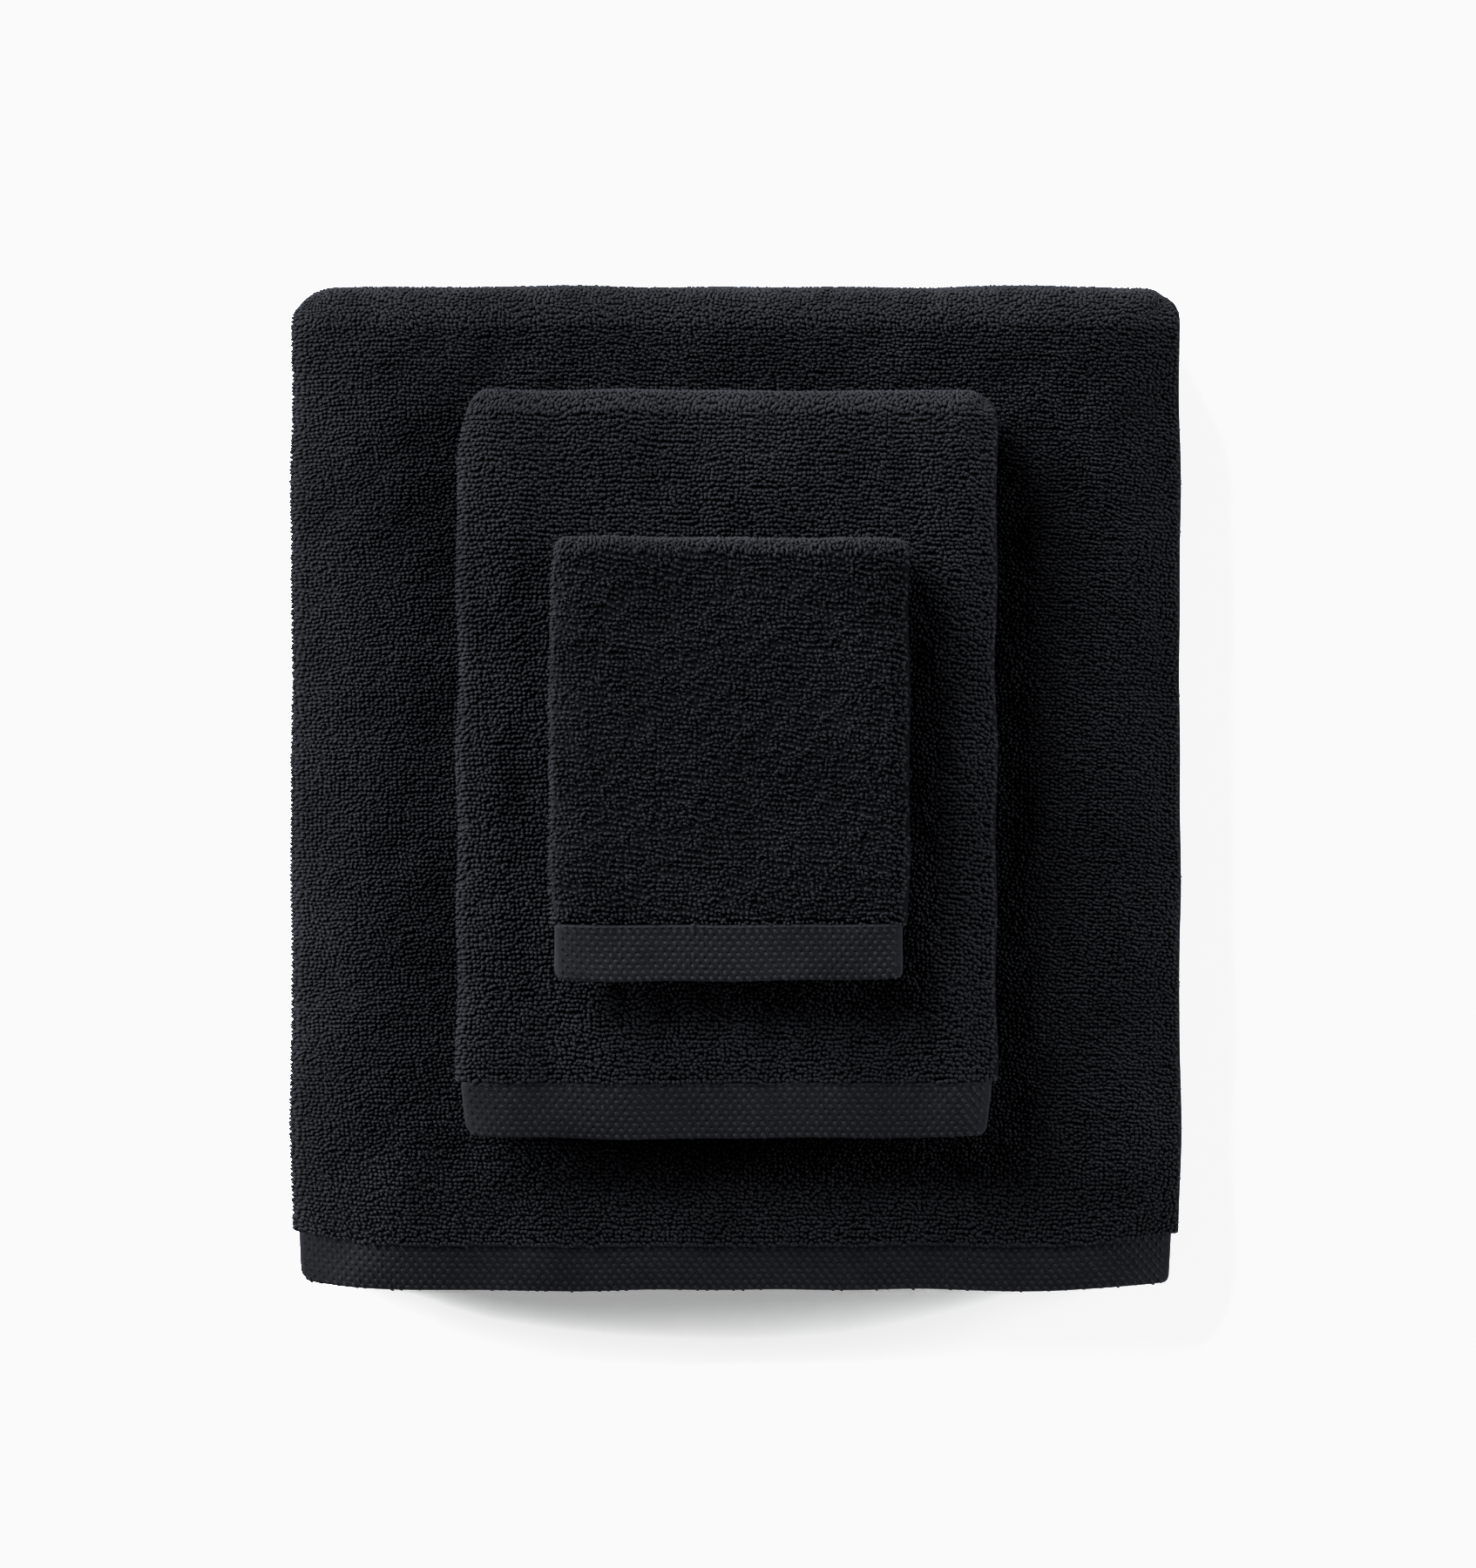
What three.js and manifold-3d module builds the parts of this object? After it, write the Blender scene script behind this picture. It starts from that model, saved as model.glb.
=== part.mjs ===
// A bath towel set: a bath towel, a hand towel and a washcloth, folded and stacked in that order.
// Millimetres, +Z up. The stack stands on z = 0, centred on the bath towel. -Y is the front, where the
// woven borders show. +Y is the back, where each cloth turns over its rolled fold. Every towel is first
// folded in half across its width, with that fold at -X and the selvedges at +X, so that a leaf of the
// folded towel is two plies of cloth, an outer and an inner one.

import * as THREE from 'three';
import * as BufferGeometryUtils from 'three/addons/utils/BufferGeometryUtils.js';
import Module from 'manifold-3d';

const wasm = await Module();
wasm.setup();

// Driving dimensions.
const PIECE_GAP = 0.3; // between pieces that touch
const LEAF_GAP = 1.0; // air between two leaves of one towel
const BORDER_WIDTH = 24; // woven border at each end of a towel
const BORDER_THICKNESS = 6; // of both hemmed plies together
const SIDE_HEM_WIDTH = 8; // turned selvedge along each long side
const THREAD = 0.6; // sewing thread
const THREAD_INSET = 1.5; // from the edge that a thread runs along
const FRONT_SETBACK = 4; // the lower leaves stop this far behind the shown border
const HIDDEN_END_SETBACK = 2; // an inner leaf stops this far before the back fold
const FLAP_LIFT = 0.4; // keeps the opened flap off the towel below
const FLAP_CLEARANCE = 0.4; // between the flap's end and the fold as it turns
const LABEL = { width: 30, length: 36, thickness: 0.4, sideInset: 10, frontInset: 40 };
const TURN_STEPS = 16; // in a half turn
const SWEEP_SIDES = 72; // of the cylinder that the flap's end clears

const BATH = {
  name: 'bath', width: 380, length: 430, x: 0, y: 0, base: 0, leaf: 12, leaves: 3, corner: 26,
};
const HAND = {
  name: 'hand', width: 228, length: 316, x: -4, y: 10, base: restingHeight(BATH), leaf: 10, leaves: 2,
  corner: 12,
};
const WASHCLOTH = {
  name: 'washcloth', width: 152, length: 186, x: -3.5, y: 12, base: restingHeight(HAND), leaf: 8,
  leaves: 2, corner: 8, underLeafLength: 113,
};

const terry = new THREE.MeshStandardMaterial({ color: 0x17181b, roughness: 0.95, metalness: 0 });
const dobby = new THREE.MeshStandardMaterial({ color: 0x1d1e22, roughness: 0.8, metalness: 0 });
const sewingThread = new THREE.MeshStandardMaterial({ color: 0x202126, roughness: 0.6, metalness: 0 });
const satin = new THREE.MeshStandardMaterial({ color: 0x2a2b30, roughness: 0.45, metalness: 0 });

const towelSet = new THREE.Group();

// The height at which the next towel lies on this one.
function restingHeight(towel) {
  return towel.base + towel.leaves * towel.leaf + (towel.leaves - 1) * LEAF_GAP + PIECE_GAP;
}

// Where a folded towel's edges, leaves and folds lie. Leaves count from 0 at the bottom.
function layout(towel) {
  const rise = towel.leaf + LEAF_GAP;
  const backRadius = (towel.leaves - 1) * rise / 2;
  const frontRadius = rise / 2;
  const front = towel.y - towel.length / 2;
  const frontTurnY = front + FRONT_SETBACK + frontRadius + towel.leaf / 2;
  return {
    front,
    backRadius,
    frontRadius,
    frontTurnY,
    backTurnY: towel.y + towel.length / 2 - backRadius - towel.leaf / 2,
    left: towel.x - towel.width / 2,
    right: towel.x + towel.width / 2,
    leafZ: (leafNumber) => towel.base + towel.leaf / 2 + leafNumber * rise,
  };
}

// A cloth's run is its centre line seen from +X, as straight stretches and half turns. Each gives its
// points at a distance from the centre line, counted towards the outer ply.
function straight(fromY, toY, z) {
  const outward = Math.sign(toY - fromY);
  return (offset) => [
    new THREE.Vector2(fromY, z + outward * offset),
    new THREE.Vector2(toY, z + outward * offset),
  ];
}

function halfTurn(y, z, radius, startAngle) {
  return (offset) => new THREE.EllipseCurve(
    y, z, radius + offset, radius + offset, startAngle, startAngle - Math.PI, true,
  ).getPoints(TURN_STEPS);
}

function backTurn(towel) {
  const { backTurnY, backRadius, leafZ } = layout(towel);
  return halfTurn(backTurnY, leafZ(0) + backRadius, backRadius, Math.PI / 2);
}

// The closed outline of the part of a cloth between two distances from its run.
function ribbon(run, inner, outer) {
  const there = run.flatMap((step) => step(outer));
  const back = run.flatMap((step) => step(inner)).reverse();
  const outline = [...there, ...back];
  return new THREE.Shape(outline.filter((point, i) => point.distanceTo(outline.at(i - 1)) > 0.001));
}

const PROFILE_TO_SPACE = new THREE.Matrix4().makeBasis(
  new THREE.Vector3(0, 1, 0),
  new THREE.Vector3(0, 0, 1),
  new THREE.Vector3(1, 0, 0),
);

// Sweeps an outline drawn in the YZ plane across the towel, from one x to another.
function acrossWidth(outline, fromX, toX) {
  return new THREE.ExtrudeGeometry(outline, { depth: toX - fromX, bevelEnabled: false })
    .applyMatrix4(PROFILE_TO_SPACE)
    .translate(fromX, 0, 0);
}

function toSolid(geometry) {
  const bare = geometry.clone();
  bare.deleteAttribute('normal');
  bare.deleteAttribute('uv');
  const merged = BufferGeometryUtils.mergeVertices(bare);
  return new wasm.Manifold(new wasm.Mesh({
    numProp: 3,
    vertProperties: merged.attributes.position.array,
    triVerts: merged.index.array,
  }));
}

function toGeometry(solid) {
  const { vertProperties, triVerts } = solid.getMesh();
  const geometry = new THREE.BufferGeometry();
  geometry.setAttribute('position', new THREE.BufferAttribute(vertProperties, 3));
  geometry.setIndex(new THREE.BufferAttribute(triVerts, 1));
  geometry.computeVertexNormals();
  return geometry;
}

// The towel's outline from above, with the back corner on its folded side rounded, as a tall prism.
function footprint(towel) {
  const { left, right, front } = layout(towel);
  const back = towel.y + towel.length / 2;
  const outline = new THREE.Shape();
  outline.moveTo(left, front);
  outline.lineTo(right, front);
  outline.lineTo(right, back);
  outline.absarc(left + towel.corner, back - towel.corner, towel.corner, Math.PI / 2, Math.PI, false);
  const height = restingHeight(towel) - towel.base;
  return new THREE.ExtrudeGeometry(outline, { depth: 2 * height, bevelEnabled: false })
    .translate(0, 0, towel.base - height / 2);
}

function roundFoldedCorner(geometry, towel) {
  return toGeometry(toSolid(geometry).intersect(toSolid(footprint(towel))));
}

function addPiece(name, geometry, material) {
  const piece = new THREE.Mesh(geometry, material);
  piece.name = name;
  towelSet.add(piece);
  return piece;
}

function addBox(name, size, centre, material) {
  addPiece(name, new THREE.BoxGeometry(...size), material).position.set(...centre);
}

// A stretch of terry, two plies thick, as far across as its side hems.
function terryStretch(towel, run) {
  const { left, right } = layout(towel);
  const half = towel.leaf / 2;
  return acrossWidth(ribbon(run, -half, half), left, right - SIDE_HEM_WIDTH);
}

// The two selvedges of a stretch, one for each ply, and the seam that holds each hem down.
function addSideHems(name, towel, run) {
  const { right } = layout(towel);
  const seamX = right - SIDE_HEM_WIDTH + PIECE_GAP;
  const hemX = seamX + THREAD + PIECE_GAP;
  const ply = towel.leaf / 2;
  for (const [side, sign] of [['outer', 1], ['inner', -1]]) {
    const plyCentre = sign * ply / 2;
    const hemHalf = (ply - PIECE_GAP) / 2;
    const hem = ribbon(run, plyCentre - hemHalf, plyCentre + hemHalf);
    const seam = ribbon(run, plyCentre - THREAD / 2, plyCentre + THREAD / 2);
    addPiece(`${name}_${side}_side_hem`, acrossWidth(hem, hemX, right), terry);
    addPiece(`${name}_${side}_side_thread`, acrossWidth(seam, seamX, seamX + THREAD), sewingThread);
  }
}

// A hemmed border whose terry side is at terryY, and the hem's thread along that side.
function addBorder(name, towel, terryY, direction, z) {
  const width = BORDER_WIDTH - PIECE_GAP;
  const centreY = terryY + direction * (PIECE_GAP + width / 2);
  const threadY = terryY + direction * (PIECE_GAP + THREAD_INSET);
  const threadZ = z + BORDER_THICKNESS / 2 + PIECE_GAP + THREAD / 2;
  addBox(`${name}_border`, [towel.width, width, BORDER_THICKNESS], [towel.x, centreY, z], dobby);
  const seamLength = towel.width - 2 * THREAD_INSET;
  addBox(`${name}_hem_thread`, [seamLength, THREAD, THREAD], [towel.x, threadY, threadZ], sewingThread);
}

// A blank care label sewn into the side hem, lying between the two lowest leaves.
function addCareLabel(towel, frontY) {
  const { right, leafZ } = layout(towel);
  const x = right - LABEL.sideInset - LABEL.width / 2;
  const z = leafZ(0) + (towel.leaf + LEAF_GAP) / 2;
  addBox(
    `${towel.name}_care_label`,
    [LABEL.width, LABEL.length, LABEL.thickness],
    [x, frontY + LABEL.frontInset + LABEL.length / 2, z],
    satin,
  );
}

// The bath towel is folded in three: a bottom leaf, an inner leaf turned up from the front over it, and
// the shown leaf, turned over both from the back.
function addBathTowel() {
  const { front, frontTurnY, frontRadius, backTurnY, leafZ } = layout(BATH);
  const shownTerryY = front + BORDER_WIDTH;
  const hiddenTerryY = backTurnY - HIDDEN_END_SETBACK - BORDER_WIDTH;
  const run = [
    straight(shownTerryY, backTurnY, leafZ(2)),
    backTurn(BATH),
    straight(backTurnY, frontTurnY, leafZ(0)),
    halfTurn(frontTurnY, leafZ(0) + frontRadius, frontRadius, -Math.PI / 2),
    straight(frontTurnY, hiddenTerryY, leafZ(1)),
  ];
  addPiece('bath_terry_cloth', roundFoldedCorner(terryStretch(BATH, run), BATH), terry);
  addSideHems('bath', BATH, run);
  addBorder('bath_shown', BATH, shownTerryY, -1, leafZ(2));
  addBorder('bath_hidden', BATH, hiddenTerryY, 1, leafZ(1));
  addCareLabel(BATH, frontTurnY);
}

// The hand towel is folded in two, with both its ends at the front.
function addHandTowel() {
  const { front, backTurnY, leafZ } = layout(HAND);
  const shownTerryY = front + BORDER_WIDTH;
  const hiddenTerryY = shownTerryY + FRONT_SETBACK;
  const run = [
    straight(shownTerryY, backTurnY, leafZ(1)),
    backTurn(HAND),
    straight(backTurnY, hiddenTerryY, leafZ(0)),
  ];
  addPiece('hand_terry_cloth', roundFoldedCorner(terryStretch(HAND, run), HAND), terry);
  addSideHems('hand', HAND, run);
  addBorder('hand_shown', HAND, shownTerryY, -1, leafZ(1));
  addBorder('hand_hidden', HAND, hiddenTerryY, -1, leafZ(0));
  addCareLabel(HAND, front);
}

// The washcloth is folded over a shorter under leaf. Its flap opens about a line behind the fold: half
// the fold's own length of cloth away, so that the opened flap lies where the unrolled cloth would.
function addWashcloth() {
  const { front, backTurnY, backRadius, leafZ } = layout(WASHCLOTH);
  const shownTerryY = front + BORDER_WIDTH;
  const hiddenTerryY = backTurnY - WASHCLOTH.underLeafLength + BORDER_WIDTH;
  const hingeY = backTurnY + Math.PI * backRadius / 2;
  const hingeZ = leafZ(0) + backRadius + FLAP_LIFT;
  const foldReach = Math.hypot(hingeY - backTurnY, hingeZ - WASHCLOTH.base);
  const sweepRadius = foldReach + FLAP_CLEARANCE;
  const sweep = new THREE.CylinderGeometry(sweepRadius, sweepRadius, 2 * WASHCLOTH.width, SWEEP_SIDES)
    .rotateZ(Math.PI / 2)
    .translate(WASHCLOTH.x, hingeY, hingeZ);
  const flap = terryStretch(WASHCLOTH, [straight(shownTerryY, backTurnY, leafZ(1))]);
  const flapEndY = hingeY - sweepRadius;
  addPiece('washcloth_flap', toGeometry(toSolid(flap).subtract(toSolid(sweep))), terry);
  const foldRun = [backTurn(WASHCLOTH)];
  addPiece('washcloth_fold', roundFoldedCorner(terryStretch(WASHCLOTH, foldRun), WASHCLOTH), terry);
  const underRun = [straight(backTurnY - PIECE_GAP, hiddenTerryY, leafZ(0))];
  addPiece('washcloth_under_leaf', terryStretch(WASHCLOTH, underRun), terry);
  addSideHems('washcloth_flap', WASHCLOTH, [straight(shownTerryY, flapEndY, leafZ(1))]);
  addSideHems('washcloth_under', WASHCLOTH, underRun);
  addBorder('washcloth_shown', WASHCLOTH, shownTerryY, -1, leafZ(1));
  addBorder('washcloth_hidden', WASHCLOTH, hiddenTerryY, -1, leafZ(0));
  addCareLabel(WASHCLOTH, hiddenTerryY);
}

addBathTowel();
addHandTowel();
addWashcloth();

export default towelSet;
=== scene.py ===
"""Three folded black terry towels in a stack: a bath towel, a hand towel and a washcloth.

A place in a towel is worked out in its own cloth, as (along, across, out). Along runs down the cloth
from where its shown woven border meets the terry, across runs over its width from one selvedge to the
other, and out is the height above the middle of the cloth, on its visible side. Towel.place() folds
such places into the stack and lets them sag as soft cloth does.
"""

import math

import bmesh
import bpy
import numpy as np
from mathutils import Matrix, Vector


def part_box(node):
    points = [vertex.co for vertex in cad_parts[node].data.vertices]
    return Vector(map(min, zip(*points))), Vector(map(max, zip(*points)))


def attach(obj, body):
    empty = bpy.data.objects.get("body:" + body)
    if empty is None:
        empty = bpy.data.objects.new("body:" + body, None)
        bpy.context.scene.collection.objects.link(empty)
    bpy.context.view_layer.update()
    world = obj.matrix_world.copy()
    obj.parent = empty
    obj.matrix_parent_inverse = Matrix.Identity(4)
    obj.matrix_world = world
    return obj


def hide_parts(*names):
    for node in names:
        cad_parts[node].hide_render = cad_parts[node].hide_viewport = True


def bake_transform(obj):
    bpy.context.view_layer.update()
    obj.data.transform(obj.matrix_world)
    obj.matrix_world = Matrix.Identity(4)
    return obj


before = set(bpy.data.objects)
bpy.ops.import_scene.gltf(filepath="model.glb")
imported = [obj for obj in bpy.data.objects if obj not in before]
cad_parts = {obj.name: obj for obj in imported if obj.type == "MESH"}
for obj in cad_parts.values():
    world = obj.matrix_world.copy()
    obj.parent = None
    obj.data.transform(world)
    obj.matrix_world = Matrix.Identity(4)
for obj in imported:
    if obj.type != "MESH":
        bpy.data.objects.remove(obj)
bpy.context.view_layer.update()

MM = 0.001

# The make-up of the cloth
LEAF_GAP = 1.0 * MM  # air between two leaves of one towel
SIDE_HEM = 8.0 * MM  # width of the turned selvedge
HEM_GAP = 0.3 * MM  # between a hem and the terry beside it
HEM_DEPTH = 1.5 * MM  # of a hem below the tips of the pile
BORDER_PLY = 2.8 * MM  # one hemmed ply of a woven border
GROUND_DEPTH = 1.6 * MM  # of the ground weave below the tips of the pile
INNER_FACE_DEPTH = 0.25 * MM  # of the inner face, so that two faces that touch don't coincide
SEAM_INSET = 0.9 * MM  # of a border's stitches from the terry
STITCH = {"pitch": 3.4 * MM, "length": 2.7 * MM, "radius": 0.28 * MM}
FLOAT = {  # the raised floats of a border's weave
    "column": 3.85 * MM, "row": 2.43 * MM, "margin": 1.6 * MM, "length": 4.2 * MM, "radius": 0.9 * MM,
    "height": 0.42 * MM, "tilt": 40, "tilt_spread": 12, "fade": 22 * MM,
}
LABEL_HALF = 0.15 * MM  # half the thickness of a care label
LABEL_GAP = 0.3 * MM  # between a label and the cloth under it
LABEL_CURL = 0.12 * MM
LABEL_CURL_LENGTH = 30 * MM

# The pile
FIRST_ROW = 0.8 * MM  # from the border to the first row of loops
EDGE_CLEAR = 1.0 * MM  # bare edge beyond the outermost loops
FOLD_STRIP = 14 * MM  # pile that shows beyond the fold at the side of each leaf
LEAN_SIZE = 14 * MM  # size of the patches whose loops lean the same way
LEAN = 10  # degrees
TIP_SHARE = 1.15  # height of the tallest loops over the usual half thickness
FOLD_ROWS = (2.0 * MM, 3.5 * MM, 5.0 * MM)  # the rows on each side of the washcloth's hidden fold
FOLD_ROW_INSET = 3.0 * MM  # of those rows from the left

# How soft cloth departs from a square stack
SWAY = 0.4 * MM  # how far the lower leaves wander sideways
SWAY_LENGTH = 260 * MM
EDGE_WAVE_LENGTH = 60 * MM
CREASE_SHARE = 0.35  # strength of the small unevenness over that of the large
BAND_LIFT = 0.6  # where a border lies between the middle and the top of its leaf
OVERHANG_REACH = 70 * MM  # how far up the cloth the terry slides over its border
OVERHANG_FADE = 60 * MM  # from the sides, where it doesn't
BULGE_REACH = 80 * MM
WAIST_REACH = 40 * MM
WAIST_WIDTH = 90 * MM
BOW_REACH = 60 * MM
CORNERS = {"back_left": (-1, 1), "back_right": (1, 1), "front_left": (-1, -1), "front_right": (1, -1)}

# Strands, such as loops and stitches
STRAND_TAPER = 0.35  # how much thinner one gets towards its ends
STRAND_DIP = 0.8  # of its two tips, in half thicknesses
FLANK_SHADE_SHARE = 0.4  # painted shade: how much darker its flanks are painted than its crown

# Fineness of the meshes
CLOTH_STEP = 5 * MM
BORDER_STEP = 2 * MM
LABEL_STEP = 1.5 * MM
TURN_STEPS = 24
PIECE_FACES = 195000  # most faces in one piece of pile

# Cotton: low and high are the tones of its feet and crowns, grain and fibre are features per metre. For
# strands, low is the painted shade of their feet and flanks and high their lit crowns; for other pieces both
# are tones that vary at random.
COOL_BLACK = (1.0, 1.05, 1.24)
COOL_SHEEN = (0.62, 0.66, 0.78, 1)
PATCHES = 22  # the slow unevenness of the dye, per metre
NOISE_RANGE = (0.3, 0.7)  # where nearly all of a noise texture lies
COTTON = {
    "pile": {"name": "terry_pile", "low": 0.0160, "high": 0.0196, "grain": 420, "fibre": 3200,
             "sheen": 0.022, "fibre_depth": 0.12 * MM, "strands": True},
    # the ground weave has lower tones than the pile: painted shade in the gaps between the loops
    "ground": {"name": "terry_ground", "low": 0.0110, "high": 0.0150, "grain": 500, "fibre": 1800,
               "sheen": 0.005, "fibre_depth": 0.3 * MM},
    "border": {"name": "woven_border", "low": 0.0128, "high": 0.0205, "grain": 900, "fibre": 2600,
               "sheen": 0.005, "fibre_depth": 0.15 * MM},
    "float": {"name": "border_float", "low": 0.0120, "high": 0.0216, "grain": 900, "fibre": 2600,
              "sheen": 0.005, "fibre_depth": 0.05 * MM, "strands": True},
    "hem": {"name": "side_hem", "low": 0.0053, "high": 0.0096, "grain": 900, "fibre": 2400,
            "sheen": 0.010, "fibre_depth": 0.12 * MM},
    "thread": {"name": "sewing_thread", "low": 0.0120, "high": 0.0250, "grain": 700, "fibre": 5000,
               "sheen": 0.024, "fibre_depth": 0.05 * MM, "strands": True},
    "label": {"name": "satin_label", "low": 0.036, "high": 0.044, "grain": 1500, "fibre": 6000,
              "sheen": 0.10, "fibre_depth": 0.03 * MM},
}

# Camera, light and floor
PICTURE_HEIGHT = 671 * MM  # of the towels' level, in the camera's view
CAMERA_HEIGHT = 2.0
CAMERA_PLACE = (0.7 * MM, 1.9 * MM, CAMERA_HEIGHT + 30 * MM)
SUNS = {  # the direction towards each, its strength, and how wide it looks, in degrees
    "key": ((-0.60, 0.77, 0.24), 8.3, 36),
    "rim": ((-0.93, 0.36, 0.10), 6.3, 24),
    "side": ((0.97, 0.22, 0.07), 5.8, 24),
    "front": ((0.35, -0.93, 0.02), 3.3, 12),
}
FILL = 0.017
PAPER_WHITE = 0.956  # the brightest tone of the picture
TONE = ((0.1, 0.1), (0.19, 0.38), (0.245, 0.84), (0.36, PAPER_WHITE))  # overexposed from 0.36 on
FLOOR_SIZE = 20.0
FLOOR_TONE = 0.88
FLOOR_GLOW = 0.14
BACKDROP_GLOW = 1.2


# Smooth shapes ---------------------------------------------------------------------------------------


class Ripple:
    """Smooth unevenness: a sum of sine waves in seeded directions, about as strong as a normal spread."""

    def __init__(self, seed, wavelength, waves=10):
        random = np.random.default_rng(seed)
        heading = random.uniform(0, 2 * math.pi, waves)
        turns = 2 * math.pi / (wavelength * random.uniform(0.7, 1.5, waves))
        phases = random.uniform(0, 2 * math.pi, waves)
        self.waves = list(zip(turns * np.cos(heading), turns * np.sin(heading), phases))

    def __call__(self, x, y):
        total = sum(np.sin(a * x + b * y + phase) for a, b, phase in self.waves)
        return total / math.sqrt(len(self.waves) / 2)


def shoulder(distance, reach):
    """1 at an edge, falling smoothly to 0 at that reach from it."""
    return (1 - np.clip(distance / reach, 0, 1)) ** 2


def rounded(distance, radius):
    """How much of its thickness a rounded edge has at that distance in. A trace is left at the rim."""
    near = 1 - np.clip(distance / radius, 0, 1)
    return np.sqrt(1 - 0.98 * near ** 2)


def smooth_step(share):
    """0 up to 0 and 1 from 1, with a smooth rise between."""
    share = np.clip(share, 0, 1)
    return share * share * (3 - 2 * share)


def blunt_max(a, b, radius):
    """The half size of the square, with corners of that radius, whose outline goes through (a, b)."""
    apart = np.minimum(np.abs(a - b), radius)
    return (a + b + 2 * radius - np.sqrt(2 * radius ** 2 - apart ** 2)) / 2 + (np.abs(a - b) - apart) / 2


def steps(start, end, step):
    """Evenly spaced values, about that far apart."""
    return np.linspace(start, end, max(2, round(abs(end - start) / step) + 1))


class Fold:
    """A piece folded in half over its width, with the fold at -X: two plies, an outer and an inner one."""

    def __init__(self, left, right, ply):
        self.ply = ply
        self.radius = ply / 2
        self.fold_x = left + ply
        self.flat = right - self.fold_x
        self.middle = self.flat + math.pi * self.radius / 2
        self.width = 2 * self.middle

    def at(self, across, out):
        """(x, distance out from the middle of the leaf)."""
        angle = np.clip((across - self.flat) / self.radius, 0, math.pi)
        before = np.maximum(self.flat - across, 0)
        after = np.maximum(across - self.flat - math.pi * self.radius, 0)
        bend = self.radius + out
        return self.fold_x + before + after - bend * np.sin(angle), bend * np.cos(angle)


def line(from_y, to_y, z):
    """A straight stretch of a run. Its outer side is up where it runs back, down where it runs forward."""
    way = math.copysign(1, to_y - from_y)

    def at(distance):
        flat = np.zeros_like(distance)
        return from_y + way * distance, flat + z, flat, flat + way

    return abs(to_y - from_y), at


def turn(y, z, radius, start):
    """A half turn of a run, clockwise seen from +X, with its outer side outside."""

    def at(distance):
        angle = start - distance / radius
        outward = np.cos(angle), np.sin(angle)
        return y + radius * outward[0], z + radius * outward[1], *outward

    return math.pi * radius, at


# A folded towel --------------------------------------------------------------------------------------


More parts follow.
